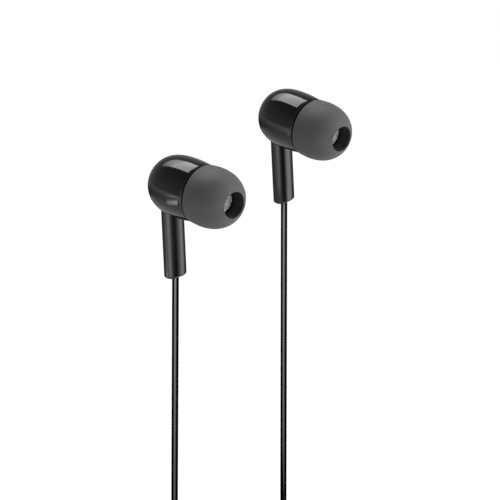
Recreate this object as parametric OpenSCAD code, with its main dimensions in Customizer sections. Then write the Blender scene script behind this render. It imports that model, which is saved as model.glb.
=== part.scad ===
// Wired in-ear earphones, in millimetres.
// The left ear tip's centre is the origin, its nozzle points along +X and +Z is up.
// Both earphones hang by their ear tips; the spare cord is folded into one tied hank below.

/* [Ear tip] */
// Outer diameter of the silicone ear tip
tip_d = 12; // [11:0.25:13]
// Length of the ear tip along the nozzle
tip_len = 7.9; // [7.4:0.1:8.6]
// Thickness of the umbrella skirt
tip_wall = 0.55; // [0.4:0.05:0.8]
// Wall of the inner collar that grips the nozzle
tip_collar_wall = 0.7; // [0.5:0.05:0.9]
// Diameter of the mouth that the sound leaves by
tip_mouth_d = 5.5; // [5.4:0.1:6.2]
// Length of the straight skirt behind the dome
tip_skirt_len = 1.45; // [1:0.05:2]
// Squareness of the dome, 2 is an ellipse
tip_shape = 2.3; // [2:0.1:2.8]

/* [Nozzle] */
// Outer diameter of the nozzle at its barb
nozzle_d = 5.2; // [4.8:0.1:5.3]
// Length of the nozzle in front of the housing
nozzle_len = 5.9; // [5.2:0.1:6.2]
// How far the neck is set in behind the barb
nozzle_neck = 0.15; // [0.1:0.05:0.25]
// Length of the barb
nozzle_barb_len = 1.2; // [0.8:0.1:1.6]
// Diameter of the sound bore
nozzle_bore_d = 3.9; // [3.4:0.1:4.1]
// Running clearance of the ear tip on the barb
tip_clear = 0.05; // [0.02:0.01:0.1]
// Thickness of the wire screen
screen_t = 0.15; // [0.1:0.05:0.25]
// Spacing of the screen's holes
screen_pitch = 0.4; // [0.38:0.02:0.6]
// Width of the screen's wires
screen_wire = 0.14; // [0.1:0.02:0.2]

/* [Housing] */
// Greatest diameter of the housing
housing_d = 12.1; // [11.6:0.1:13]
// How far the front rim is drawn in from the widest place
housing_draw = 0.3; // [0.2:0.05:0.5]
// Gap between the ear tip's skirt and the housing
front_gap = 0.85; // [0.5:0.05:1.2]
// Length from the front face back to the widest place
housing_body_len = 4.3; // [4:0.1:5]
// Length of the domed back behind the widest place
housing_dome_len = 7.6; // [7:0.1:8.5]
// Squareness of the domed back, 2 is an ellipse
housing_shape = 2.7; // [2.3:0.1:3]
// Wall of the shell
housing_wall = 0.8; // [0.6:0.05:0.9]
// Thickness of the front cover's plate
cover_t = 1.2; // [1:0.1:1.4]
// Chamfer round the front cover
cover_chamfer = 0.35; // [0.2:0.05:0.5]
// Seam clearance between glued pieces
seam = 0.02; // [0.01:0.01:0.05]

/* [Stem] */
// Width of the stem across the nozzle
stem_w = 4.9; // [4.4:0.1:5.4]
// Thickness of the stem along the nozzle
stem_t = 3; // [2.8:0.1:3.6]
// Drop from the nozzle's axis to the stem's end
stem_drop = 19.35; // [17:0.05:21]
// Distance of the stem's axis behind the widest place
stem_back = 4.25; // [3.6:0.05:4.6]
// Forward lean of the stem in degrees
stem_lean = 2.8; // [0:0.2:5]
// Squareness of the stem's section, 2 is an ellipse
stem_shape = 2.6; // [2.2:0.1:3.2]
// Rounding of the stem's lower edge
stem_round = 0.6; // [0.3:0.1:0.9]
// Bore that carries the wires down the stem
stem_bore_d = 2; // [1.9:0.1:2.1]
// Thickness of the floor that the cord leaves by
stem_floor = 1; // [0.8:0.1:1.4]
// Diameter of the stem's tenon in the shell
tenon_d = 2.6; // [2.5:0.1:2.8]

/* [Driver] */
// Clearance of the driver in the shell
driver_clear = 0.05; // [0.03:0.01:0.15]
// Depth of the driver's frame
driver_depth = 2.7; // [2.5:0.1:3]
// Wall of the frame's rim
driver_rim = 0.45; // [0.3:0.05:0.6]
// Thickness of the frame's rear web
driver_web = 0.4; // [0.3:0.05:0.6]
// Diameter of the magnet
magnet_d = 3.2; // [2.8:0.1:3.4]
// Thickness of the magnet
magnet_t = 1.2; // [1:0.1:1.6]
// Thickness of the top plate
top_plate_t = 0.5; // [0.4:0.05:0.7]
// Width of the magnetic gap round the top plate
magnet_gap = 0.6; // [0.5:0.05:0.7]
// Wall and floor of the yoke cup
yoke_wall = 0.5; // [0.4:0.05:0.6]
// Wall of the voice coil
coil_wall = 0.2; // [0.15:0.05:0.25]
// Length of the voice coil
coil_len = 1.4; // [1.2:0.1:1.6]
// Thickness of the diaphragm film
film_t = 0.1; // [0.06:0.02:0.14]
// Thickness of the pierced cap over the diaphragm
cap_t = 0.2; // [0.15:0.05:0.3]

/* [Pair] */
// Right earphone's place along the left nozzle's axis
pair_x = -10.9; // [-14:0.1:0]
// Spacing of the two earphones across the nozzles
pair_y = 41.4; // [36:0.1:48]
// Right earphone turned about its nozzle, in degrees
pair_roll = 4; // [0:0.5:6]
// Right nozzle dipped, in degrees
pair_dip = 3; // [0:0.5:5]

/* [Cord] */
// Diameter of the cord
cord_d = 1.35; // [1.2:0.05:1.4]
// Clearance of the cord in its bores
cord_clear = 0.06; // [0.03:0.01:0.1]
// Length of the crimped anchor on the end of each branch
anchor_len = 2.2; // [1.8:0.1:3]
// Length of the Y splitter
splitter_len = 12; // [9:0.5:15]
// Width of the Y splitter at its twin end
splitter_w = 4.8; // [4.4:0.1:6]
// Thickness of the Y splitter
splitter_t = 3; // [2.6:0.1:4]
// Width of the splitter where the single cord leaves
splitter_neck_w = 2.9; // [2.4:0.1:3.6]
// Thickness of the splitter where the single cord leaves
splitter_neck_t = 2.4; // [2.2:0.1:2.8]
// Depth of the cord's seats in the splitter
splitter_seat = 2; // [1.5:0.1:3]

/* [Hank] */
// Length of the straight runs of the hank
hank_run = 24; // [22:0.5:24]
// Radius of the outer folds
hank_fold_r = 8.4; // [8.4:0.1:9]
// Step from one turn of cord to the next
hank_pitch = 1.9; // [1.88:0.01:1.92]
// How far the tie draws every run in
hank_waist = 2.2; // [0.6:0.1:2.4]
// Width of the tie along the hank
tie_w = 3; // [2:0.5:5]
// Thickness of the tie
tie_t = 0.8; // [0.5:0.1:1.2]
// Clearance of the tie round the cords
tie_clear = 0.15; // [0.1:0.05:0.3]

/* [Plug] */
// Diameter of the plug's contacts
plug_d = 3.5; // [2.5:0.1:3.5]
// Length of the contacts in front of the handle
plug_len = 14; // [13.5:0.1:15]
// Length of the sleeve contact
plug_sleeve_len = 5; // [4.5:0.1:5.5]
// Length of the ring contact
plug_ring_len = 2.2; // [2:0.1:2.6]
// Length of each insulating band
plug_gap_len = 0.7; // [0.5:0.1:0.9]
// Diameter of the plug's handle
handle_d = 7; // [6:0.5:9]
// Length of the plug's handle
handle_len = 15; // [12:0.5:20]
// Length of the ribbed strain relief
relief_len = 8; // [6:0.5:12]
// Diameter of the strain relief where it meets the handle
relief_d = 4.2; // [3.8:0.1:4.8]
// Wall of the strain relief round the cord
relief_wall = 0.55; // [0.45:0.05:0.7]
// Number of ribs on the strain relief
relief_ribs = 5; // [3:1:6]

/* [Hidden] */
$fn = 64;

// Colours
black_gloss = [0.09, 0.09, 0.1];
black_satin = [0.13, 0.13, 0.14];
tip_grey = [0.33, 0.33, 0.34];
steel = [0.7, 0.71, 0.72];
gold = [0.83, 0.68, 0.36];
copper = [0.72, 0.43, 0.25];
board_green = [0.1, 0.32, 0.18];

// Ear tip: the mouth, the rear edge and the dome's centre, along the nozzle's axis
tip_r = tip_d / 2;
mouth_r = tip_mouth_d / 2;
tip_front_x = tip_len / 2;
tip_rear_x = -tip_len / 2;
dome_x = tip_rear_x + tip_skirt_len;
dome_len = (tip_front_x - dome_x) / pow(1 - pow(mouth_r / tip_r, tip_shape), 1 / tip_shape);
collar_r = nozzle_d / 2 + tip_clear;
collar_out_r = collar_r + tip_collar_wall;
collar_rear_x = tip_rear_x - 0.2;
mouth_lip = 0.3;
dome_steps = 14;
skirt_draw = 0.12;

// Housing
housing_r = housing_d / 2;
front_r = housing_r - housing_draw;
front_x = tip_rear_x - front_gap;
wide_x = front_x - housing_body_len;
rim_x = front_x - cover_chamfer;
nozzle_end_x = front_x + nozzle_len;
barb_r = nozzle_d / 2;
neck_r = barb_r - nozzle_neck;
barb_chamfer = 0.2;
screen_lip = 0.45;
screen_r = barb_r - screen_lip;
spigot_wall = 0.5;
spigot_clear = 0.1;
spigot_r = front_r - housing_wall - spigot_clear;
cover_in_x = front_x - cover_t;
shell_steps = 16;

// Driver, from its front rim backwards
driver_r = front_r - housing_wall - driver_clear;
spigot_len = 0.6;
driver_x = cover_in_x - spigot_len;
driver_back_x = driver_x - driver_depth;
frame_in_r = driver_r - driver_rim;
film_ledge = 0.3;
film_room = 0.45;
film_x = driver_x - cap_t - film_room;
film_r = frame_in_r - seam;
film_edge_r = film_r - film_ledge - 0.05;
film_rise = 0.3;
magnet_r = magnet_d / 2;
plate_r = magnet_r + 0.1;
gap_r = plate_r + magnet_gap;
yoke_r = gap_r + yoke_wall;
coil_r = plate_r + (magnet_gap - coil_wall) / 2;
coil_x = film_x - film_t;
plate_x = coil_x - coil_len / 2;
magnet_x = plate_x - top_plate_t;
yoke_floor_x = magnet_x - magnet_t;
cap_hole_r = 0.55;
board_size = [0.3, 3, 1.4];
board_z = -(yoke_r + driver_r) / 2;
board_x = driver_back_x - board_size[0];
pad_size = [0.1, 0.7, 0.7];
pad_y = 0.9;

// Stem: its axis crosses the nozzle's axis at stem_x and leans forward
stem_x = wide_x - stem_back;
stem_rings = 36;
stem_len = stem_drop / cos(stem_lean);
tenon_top = -housing_r + 1.8;
tenon_len = 3;
anchor_r = stem_bore_d / 2 - cord_clear;
anchor_seat = 1.2;
anchor_top = stem_len - stem_floor - anchor_len;
end_clear = 0.1;
lead_r = 0.15;
lead_y = 0.32;

// Hank: s runs along it, t counts its layers, z is up. It is turned to lie between both cords.
hank_centre = [-15.05, 22.25, -101];
hank_turn = 16.7;
turn_rings = 24;
layer_count = 8;
hank_half = hank_run / 2;
branch_turns = 2.5;
branch_flip = 1.125;
main_flips = [2.25, 4.25, 6.25];
main_turns = 8.5;
splitter_top_z = -30;
splitter_end_z = splitter_top_z - splitter_len;
splitter_edge = 0.4;
branch_s = 0.95;
tail_z = -26;
relief_seat = 4;

function layer_t(k) = (k - (layer_count - 1) / 2) * hank_pitch;
function hank_point(p) = hank_centre + [
    -p[0] * sin(hank_turn) + p[1] * cos(hank_turn),
    p[0] * cos(hank_turn) + p[1] * sin(hank_turn),
    p[2]
];
hank_across = [cos(hank_turn), sin(hank_turn), 0];

// Superellipse, used for the dome, the shell and the stem's section
function power(v, n) = sign(v) * pow(abs(v), 2 / n);
function oval(a, b, n, angle) = [a * power(cos(angle), n), b * power(sin(angle), n)];

// A place on the racetrack of the hank: phase 0 is the middle of the right fold, going up
function track(phase, r) =
    let (f = phase - floor(phase), w1 = (f - 1 / 8) * 4, w2 = (f - 5 / 8) * 4)
    f < 1 / 8 ? [hank_half + r * cos(720 * f), r * sin(720 * f)]
    : f < 3 / 8 ? [hank_half - w1 * hank_run, r - hank_waist * (1 - cos(360 * w1)) / 2]
    : f < 5 / 8 ? [-hank_half + r * cos(720 * f - 180), r * sin(720 * f - 180)]
    : f < 7 / 8 ? [-hank_half + w2 * hank_run, -r + hank_waist * (1 - cos(360 * w2)) / 2]
    : [hank_half + r * cos(720 * f - 720), r * sin(720 * f - 720)];

// Smooth step of one layer while the cord passes along a run
function climb(u, at) = let (w = (u - at) * 4 + 0.5)
    w <= 0 ? 0 : w >= 1 ? 1 : (1 - cos(180 * w)) / 2;

// Branch winding: in on one layer, out on the next, from the start of a top run
function branch_r(u) = hank_fold_r - hank_pitch * (u < branch_flip ? u : 2 * branch_flip - u);
function branch_pile(side, layer, step) = [
    [side * (hank_half + cord_d), layer_t(layer), branch_r(0)],
    for (i = [0 : branch_turns * turn_rings])
        let (u = i / turn_rings, p = track(u + 1 / 8, branch_r(u)))
        [side * p[0], layer_t(layer + step * climb(u, branch_flip)), p[1]],
    [-side * (hank_half - cord_d), layer_t(layer + step), -branch_r(branch_turns)]
];

// Main winding: in, out, in and out again on four layers, from the middle of the right fold
function main_r(u) = hank_fold_r - hank_pitch * (
    u < main_flips[0] ? u
    : u < main_flips[1] ? 2 * main_flips[0] - u
    : u < main_flips[2] ? u - 2 * (main_flips[1] - main_flips[0])
    : 2 * main_flips[2] - u - 2 * (main_flips[1] - main_flips[0])
);
function main_layer(u) = 4 + climb(u, main_flips[0]) + climb(u, main_flips[1]) + climb(u, main_flips[2]);
main_pile = [
    [hank_half + hank_fold_r, layer_t(4), -cord_d],
    for (i = [0 : main_turns * turn_rings])
        let (u = i / turn_rings, p = track(u, main_r(u)))
        [p[0], layer_t(main_layer(u)), p[1]],
    [-hank_half - main_r(main_turns), layer_t(7), -cord_d]
];

left_pile = branch_pile(-1, 1, -1);
right_pile = branch_pile(1, 2, 1);
left_hank = [for (p = left_pile) hank_point(p)];
right_hank = [for (p = right_pile) hank_point(p)];
main_hank = [for (p = main_pile) hank_point(p)];

// Least gap of a wound cord to itself, and of two cords to each other, on their points
skip = 6;
function self_gap(pts) = min([
    for (i = [0 : len(pts) - 1 - skip]) for (j = [i + skip : len(pts) - 1]) norm(pts[i] - pts[j])
]) - cord_d;
function pair_gap(a, b) = min([for (p = a) for (q = b) norm(p - q)]) - cord_d;
echo(left_hank_gap = self_gap(left_hank), right_hank_gap = self_gap(right_hank),
     main_hank_gap = self_gap(main_hank), left_to_right_gap = pair_gap(left_hank, right_hank),
     right_to_main_gap = pair_gap(right_hank, main_hank));
function run_length(pts, i = 1) = i >= len(pts) ? 0 : norm(pts[i] - pts[i - 1]) + run_length(pts, i + 1);

// Free stretches, each a list of places by the hank joined to straight runs.
// Bend of a branch onto its top run: [s, z above that run]
bend_points = [
    [22.4, 3.6], [22.3, 2.65], [21.9, 1.8], [21.35, 1.05], [20.6, 0.5], [19.75, 0.1], [18.8, 0], [16, 0]
];
// From a bottom run to the splitter: [s, share of the way to the splitter's layer, z below that run]
end_points = [
    [10.4, 0, 0], [9.6, 0, -0.15], [8.8, 0, -0.55], [8.1, 0, -1.1], [7.6, 0, -1.85], [7.3, 0, -2.7],
    [7.2, 0, -3.6],
    [6.8, 0.07, -6.4], [5.6, 0.25, -9.2], [4, 0.5, -12], [2.45, 0.75, -14.8], [1.3, 0.93, -17.6],
    [branch_s, 1, -20.4]
];
// Swing of the main cord under the hank: [share of the way to the fold's end, share of the way to its own
// layer, z below the splitter]
loop_points = [
    [0, 0, -1.2], [0.018, 0.02, -3.7], [0.066, 0.07, -6.1], [0.145, 0.15, -8.1], [0.25, 0.25, -9.7],
    [0.37, 0.37, -10.65], [0.5, 0.5, -11], [0.63, 0.63, -10.65], [0.75, 0.75, -9.7],
    [0.855, 0.85, -8.1], [0.934, 0.93, -6.1], [0.982, 0.98, -3.7], [1, 1, -1.2]
];
ring_step = 3 * cord_d;
function straight(a, b) = let (n = max(1, round(norm(b - a) / ring_step)))
    [for (i = [0 : n - 1]) a + (b - a) * i / n];
function blend(a, b, w) = a * (1 - w) + b * w;
function on_stem(down) = [stem_x + down * sin(stem_lean), 0, -down * cos(stem_lean)];
function turn_x(p, a) = [p[0], p[1] * cos(a) - p[2] * sin(a), p[1] * sin(a) + p[2] * cos(a)];
function turn_y(p, a) = [p[0] * cos(a) + p[2] * sin(a), p[1], -p[0] * sin(a) + p[2] * cos(a)];
function in_right(p) = [pair_x, pair_y, 0] + turn_y(turn_x(p, pair_roll), pair_dip);
cord_seat = on_stem(stem_len - stem_floor - anchor_seat + end_clear);
cord_exit = on_stem(stem_len);

// Each branch comes straight down to its bend
function branch_bend(side, layer) = [
    for (p = bend_points) hank_point([side * p[0], layer_t(layer), branch_r(0) + p[1]]),
    hank_point([side * (hank_half + cord_d), layer_t(layer), branch_r(0)])
];
left_route = concat([cord_seat], straight(cord_exit, branch_bend(-1, 1)[0]), branch_bend(-1, 1));
right_route = concat(
    [in_right(cord_seat)], straight(in_right(cord_exit), branch_bend(1, 2)[0]), branch_bend(1, 2)
);

// Both branches meet at the splitter, midway between their layers
splitter_t_mid = layer_t(1.5);
branch_end_r = branch_r(branch_turns);
function end_route(side, layer) = [
    hank_point([-side * (hank_half - cord_d), layer_t(layer), -branch_end_r]),
    for (p = end_points)
        hank_point([-side * p[0], blend(layer_t(layer), splitter_t_mid, p[1]), p[2] - branch_end_r]),
    hank_point([-side * branch_s, splitter_t_mid, splitter_top_z - splitter_seat])
];
left_end = end_route(-1, 0);
right_end = end_route(1, 3);

// The main cord swings under and rises to the right fold, and its tail hangs from the left fold
main_start = [hank_half + hank_fold_r, layer_t(4), -cord_d];
main_loop = concat(
    [hank_point([0, splitter_t_mid, splitter_end_z + splitter_seat])],
    [for (p = loop_points)
        hank_point([p[0] * main_start[0], blend(splitter_t_mid, layer_t(4), p[1]), p[2] + splitter_end_z])],
    [for (i = [1 : 10])
        hank_point([main_start[0], main_start[1], blend(splitter_end_z - cord_d, main_start[2], i / 10)])]
);
tail_s = -hank_half - main_r(main_turns);
tail_t = layer_t(layer_count - 1);
main_tail = concat(
    straight(hank_point([tail_s, tail_t, -cord_d]), hank_point([tail_s, tail_t, tail_z])),
    [hank_point([tail_s, tail_t, tail_z]), hank_point([tail_s, tail_t, tail_z - relief_seat])]
);
echo(left_branch = run_length(left_route) + run_length(left_hank) + run_length(left_end),
     right_branch = run_length(right_route) + run_length(right_hank) + run_length(right_end),
     main_cord = run_length(main_loop) + run_length(main_hank) + run_length(main_tail));

// A tube swept along points; the second direction keeps its sides from twisting
function unit(v) = v / norm(v);
function heading(pts, i) = unit(
    i == 0 ? pts[1] - pts[0]
    : i == len(pts) - 1 ? pts[i] - pts[i - 1]
    : unit(pts[i] - pts[i - 1]) + unit(pts[i + 1] - pts[i])
);
module tube(pts, r, sides, side_axis) {
    rings = [
        for (i = [0 : len(pts) - 1])
            let (h = heading(pts, i), v = unit(cross(h, side_axis)), u = cross(v, h))
            for (k = [0 : sides - 1])
                let (a = 360 * k / sides)
                pts[i] + r * (u * cos(a) + v * sin(a))
    ];
    last = (len(pts) - 1) * sides;
    walls = [
        for (i = [0 : len(pts) - 2]) for (k = [0 : sides - 1])
            let (a = i * sides + k, b = i * sides + (k + 1) % sides)
            each [[a, a + sides, b], [b, a + sides, b + sides]]
    ];
    first_cap = [for (k = [1 : sides - 2]) [0, k, k + 1]];
    last_cap = [for (k = [1 : sides - 2]) [last, last + k + 1, last + k]];
    polyhedron(points = rings, faces = concat(walls, first_cap, last_cap));
}

// A lofted body of oval sections: each ring is [z, half width along x, half width along y]
module loft(rings, n, shape) {
    pts = [for (r = rings) for (k = [0 : n - 1])
        let (p = oval(r[1], r[2], shape, 360 * k / n)) [p[0], p[1], r[0]]];
    top = (len(rings) - 1) * n;
    walls = [for (i = [0 : len(rings) - 2]) for (k = [0 : n - 1])
        let (a = i * n + k, b = i * n + (k + 1) % n)
        each [[a, a + n, b], [b, a + n, b + n]]];
    low_cap = [for (k = [1 : n - 2]) [0, k, k + 1]];
    high_cap = [for (k = [1 : n - 2]) [top, top + k + 1, top + k]];
    polyhedron(points = pts, faces = concat(walls, low_cap, high_cap));
}

// Turns a profile of [distance along the nozzle, radius] about the nozzle's axis
module turned(profile) {
    rotate([0, 90, 0]) rotate_extrude() polygon([for (p = profile) [p[1], p[0]]]);
}
module disc(x, t, r) {
    translate([x, 0, 0]) rotate([0, 90, 0]) cylinder(r = r, h = t);
}

// Frames of the parts
module left() {
    children();
}
module right() {
    translate([pair_x, pair_y, 0]) rotate([0, pair_dip, 0]) rotate([pair_roll, 0, 0]) children();
}
module along_stem() {
    translate([stem_x, 0, 0]) rotate([0, -stem_lean, 0]) children();
}

// Ear tip: a thin umbrella on an inner collar, open at the back
function dome(grow, angle) = let (a = dome_len + grow, b = tip_r + grow)
    [dome_x + a * pow(sin(angle), 2 / tip_shape), b * pow(cos(angle), 2 / tip_shape)];
function dome_angle(grow, r) = acos(pow(r / (tip_r + grow), tip_shape / 2));
module ear_tip() {
    out_end = dome_angle(0, mouth_r);
    in_end = dome_angle(-tip_wall, collar_out_r);
    color(tip_grey) turned(concat(
        [[tip_rear_x, tip_r - skirt_draw]],
        [for (i = [0 : dome_steps]) dome(0, out_end * i / dome_steps)],
        [
            [tip_front_x - mouth_lip, collar_r],
            [collar_rear_x, collar_r],
            [collar_rear_x, collar_out_r]
        ],
        [for (i = [dome_steps : -1 : 0]) dome(-tip_wall, in_end * i / dome_steps)],
        [[tip_rear_x, tip_r - skirt_draw - tip_wall]]
    ));
}

// Housing profile, grown or shrunk, and closed along the axis
function shell_dome(grow) = [for (i = [0 : shell_steps])
    let (p = oval(housing_dome_len + grow, housing_r + grow, housing_shape, 90 - 90 * i / shell_steps))
    [wide_x - p[0], i == shell_steps ? 0 : p[1]]];
module housing_solid(grow, from_x) {
    turned(concat([[from_x, 0], [from_x, front_r + grow]], shell_dome(grow)));
}
module rear_shell() {
    color(black_gloss) difference() {
        housing_solid(0, rim_x);
        turned(concat(
            [[rim_x + 1, 0], [rim_x + 1, front_r - housing_wall], [rim_x, front_r - housing_wall]],
            shell_dome(-housing_wall)
        ));
        along_stem() translate([0, 0, -housing_r * 2]) cylinder(d = tenon_d + 2 * seam, h = housing_r * 2);
    }
}

// Front cover with the nozzle: a chamfered plate, a spigot in the shell and the barbed tube
module front_cover() {
    bore_r = nozzle_bore_d / 2;
    seat_x = nozzle_end_x - screen_t - seam;
    color(black_satin) turned([
        [driver_x + seam, spigot_r - spigot_wall],
        [driver_x + seam, spigot_r],
        [rim_x + seam, spigot_r],
        [rim_x + seam, front_r],
        [front_x, front_r - cover_chamfer],
        [front_x, neck_r],
        [nozzle_end_x - nozzle_barb_len, neck_r],
        [nozzle_end_x - nozzle_barb_len + nozzle_neck, barb_r],
        [nozzle_end_x - barb_chamfer, barb_r],
        [nozzle_end_x, barb_r - barb_chamfer],
        [nozzle_end_x, screen_r + seam],
        [seat_x, screen_r + seam],
        [seat_x, bore_r],
        [cover_in_x, bore_r],
        [cover_in_x, spigot_r - spigot_wall]
    ]);
}

// Wire screen in the nozzle's end, a disc pierced on a square grid
module nozzle_screen() {
    hole = screen_pitch - screen_wire;
    reach = screen_r - hole;
    count = floor(reach / screen_pitch);
    color(steel) translate([nozzle_end_x - screen_t, 0, 0]) rotate([0, 90, 0])
        linear_extrude(screen_t) difference() {
            circle(r = screen_r);
            for (i = [-count : count]) for (j = [-count : count])
                if (norm([i, j]) * screen_pitch < reach)
                    translate([i, j] * screen_pitch) square(hole, center = true);
        }
}

// Stem: an oval blade under the shell, with a tenon and a bore for the wires
module stem() {
    cord_bore_r = cord_d / 2 + cord_clear;
    edge = [for (a = [90 : -22.5 : 0]) stem_round * [1 - sin(a), 1 - cos(a)]];
    color(black_gloss) difference() {
        union() {
            difference() {
                along_stem() loft(concat(
                    [for (e = edge) [-stem_len + e[0], stem_t / 2 - e[1], stem_w / 2 - e[1]]],
                    [[-housing_r / 2, stem_t / 2, stem_w / 2]]
                ), stem_rings, stem_shape);
                housing_solid(seam, rim_x);
            }
            along_stem() translate([0, 0, tenon_top - tenon_len]) cylinder(d = tenon_d, h = tenon_len);
        }
        along_stem() translate([0, 0, stem_floor - stem_len]) cylinder(d = stem_bore_d, h = stem_len);
        along_stem() translate([0, 0, -stem_len - 1]) cylinder(r = cord_bore_r, h = stem_floor + 2);
    }
}

// Driver: a frame with a web at the back, that carries every piece of the motor
module driver_frame() {
    ledge_x = film_x - film_t - seam;
    color(black_satin) turned([
        [driver_x, frame_in_r],
        [driver_x, driver_r],
        [driver_back_x, driver_r],
        [driver_back_x, yoke_r + seam],
        [driver_back_x + driver_web, yoke_r + seam],
        [driver_back_x + driver_web, frame_in_r - film_ledge],
        [ledge_x, frame_in_r - film_ledge],
        [ledge_x, frame_in_r]
    ]);
}

module driver_cap() {
    color(steel) difference() {
        disc(driver_x - cap_t, cap_t, film_r);
        disc(driver_x - 2 * cap_t, 3 * cap_t, cap_hole_r);
        for (a = [0 : 60 : 300]) rotate([a, 0, 0]) translate([0, 0, film_r / 2])
            disc(driver_x - 2 * cap_t, 3 * cap_t, cap_hole_r);
    }
}

// Diaphragm: a domed middle inside the coil and a rolled surround, in one thin film
function film_height(r) = film_rise * (r < coil_r
    ? 1 - pow(r / coil_r, 2)
    : 0.8 * sin(180 * (r - coil_r) / (film_edge_r - coil_r)));
module diaphragm() {
    radii = concat(
        [for (i = [0 : 5]) coil_r * i / 6],
        [for (i = [0 : 8]) blend(coil_r, film_edge_r, i / 8)]
    );
    n = len(radii) - 1;
    color(steel) turned(concat(
        [for (r = radii) [film_x + film_height(r), r]],
        [[film_x, film_r], [film_x - film_t, film_r]],
        [for (i = [n : -1 : 0]) [film_x + film_height(radii[i]) - film_t, radii[i]]]
    ));
}

module voice_coil() {
    color(copper) difference() {
        disc(coil_x - coil_len - seam, coil_len, coil_r + coil_wall);
        disc(coil_x - coil_len - 1, coil_len + 2, coil_r);
    }
}
module top_plate() {
    color(steel) disc(magnet_x, top_plate_t, plate_r);
}
module magnet() {
    color(steel) disc(yoke_floor_x, magnet_t, magnet_r);
}
module yoke() {
    depth = plate_x - yoke_floor_x;
    color(steel) difference() {
        disc(yoke_floor_x - yoke_wall, depth + yoke_wall, yoke_r);
        disc(yoke_floor_x, depth + 1, gap_r);
    }
}

// Terminal board on the back of the frame, with its two solder pads
module terminal_board() {
    color(board_green) translate([board_x + board_size[0] / 2, 0, board_z]) cube(board_size, center = true);
    for (side = [-1, 1])
        color(gold) translate([board_x - pad_size[0] / 2, side * pad_y, board_z]) cube(pad_size, center = true);
}

// Two leads from the pads through the tenon and down the stem to the anchor
module inner_leads() {
    pad = [board_x - pad_size[0] - lead_r - seam, 0, board_z];
    for (side = [-1, 1]) {
        aside = [0, side * lead_y, 0];
        color(copper) tube([
            pad + [0, side * pad_y, 0.2],
            pad + [-0.5, side * 0.85, -0.1],
            pad + [-1.4, side * 0.6, -0.35],
            on_stem(0.6 - board_z) + [0.6, side * lead_y, 0.5],
            on_stem(1.4 - board_z) + [0.15, side * lead_y, 0],
            on_stem(3 - board_z) + aside,
            on_stem((anchor_top - board_z) / 2) + aside,
            on_stem(anchor_top - seam) + aside
        ], lead_r, 6, [0, 1, 0]);
    }
}

// Anchor crimped on the cord's end, resting on the stem's floor
module cord_anchor() {
    color(steel) along_stem() translate([0, 0, stem_floor - stem_len + seam]) difference() {
        cylinder(r = anchor_r, h = anchor_len - 2 * seam);
        translate([0, 0, -1]) cylinder(r = cord_d / 2 + cord_clear, h = anchor_seat + 1);
    }
}

// Cords
module cord_tube(pts) {
    color(black_satin) tube(pts, cord_d / 2, 8, hank_across);
}
module cord_hank(pts) {
    color(black_satin) tube(pts, cord_d / 2, 6, hank_across);
}

// Y splitter: an oval moulding, wide where two cords enter and narrow where one leaves
module y_splitter() {
    wide = [splitter_t, splitter_w] / 2;
    neck = [splitter_neck_t, splitter_neck_w] / 2;
    edge = splitter_edge * [1, 1] / 2;
    function ring(z, v) = [z, v[0], v[1]];
    color(black_satin) translate(hank_point([0, splitter_t_mid, 0])) rotate([0, 0, hank_turn])
        difference() {
            loft([
                ring(splitter_end_z, neck - edge),
                ring(splitter_end_z + splitter_edge, neck),
                ring(splitter_end_z + 0.4 * splitter_len, blend(neck, wide, 0.5)),
                ring(splitter_end_z + 0.7 * splitter_len, wide),
                ring(splitter_top_z - splitter_edge, wide),
                ring(splitter_top_z, wide - edge)
            ], stem_rings, stem_shape);
            for (side = [-1, 1])
                translate([0, side * branch_s, splitter_top_z - splitter_seat - cord_clear])
                    cylinder(r = cord_d / 2 + cord_clear, h = splitter_seat + 1);
            translate([0, 0, splitter_end_z - 1])
                cylinder(r = cord_d / 2 + cord_clear, h = splitter_seat + cord_clear + 1);
        }
}

// Tie: a flat band round the waist of the hank
module hank_tie() {
    half_t = layer_t(layer_count - 1) + cord_d / 2 + tie_clear;
    half_z = hank_fold_r - hank_waist + cord_d / 2 + tie_clear;
    color(black_satin) translate(hank_centre) rotate([0, 0, hank_turn]) rotate([90, 0, 0])
        translate([0, 0, -tie_w / 2]) linear_extrude(tie_w) difference() {
            rounded(half_t + tie_t, half_z + tie_t, cord_d / 2 + tie_t);
            rounded(half_t, half_z, cord_d / 2);
        }
}
module rounded(half_x, half_y, r) {
    square([2 * half_x, 2 * (half_y - r)], center = true);
    square([2 * (half_x - r), 2 * half_y], center = true);
    for (i = [-1, 1]) for (j = [-1, 1])
        translate([i * (half_x - r), j * (half_y - r)]) circle(r = r);
}

// Plug, hanging point down on the tail of the main cord
handle_top_z = tail_z - relief_len;
contact_z = handle_top_z - handle_len;
sleeve_end_z = contact_z - plug_sleeve_len;
ring_top_z = sleeve_end_z - plug_gap_len;
ring_end_z = ring_top_z - plug_ring_len;
tip_top_z = ring_end_z - plug_gap_len;
plug_end_z = contact_z - plug_len;
plug_r = plug_d / 2;
pin_r = 0.5;
band_inset = 0.02;
module at_plug() {
    translate(hank_point([tail_s, tail_t, 0])) children();
}
module plug_strain_relief() {
    hole_r = cord_d / 2 + cord_clear;
    high_r = cord_d / 2 + relief_wall;
    low_r = relief_d / 2;
    rib_depth = 0.4;
    step = relief_len / (relief_ribs + 0.5);
    color(black_satin) at_plug() rotate_extrude() polygon(concat(
        [[hole_r, tail_z]],
        [for (i = [0 : relief_ribs - 1])
            let (z = tail_z - i * step, r = blend(high_r, low_r, i / relief_ribs))
            each [[r, z], [r, z - 0.55 * step], [r - rib_depth, z - 0.6 * step], [r - rib_depth, z - step]]],
        [
            [low_r, handle_top_z + 0.5 * step],
            [low_r, handle_top_z],
            [0, handle_top_z],
            [0, tail_z - relief_seat - cord_clear],
            [hole_r, tail_z - relief_seat - cord_clear]
        ]
    ));
}
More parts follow.
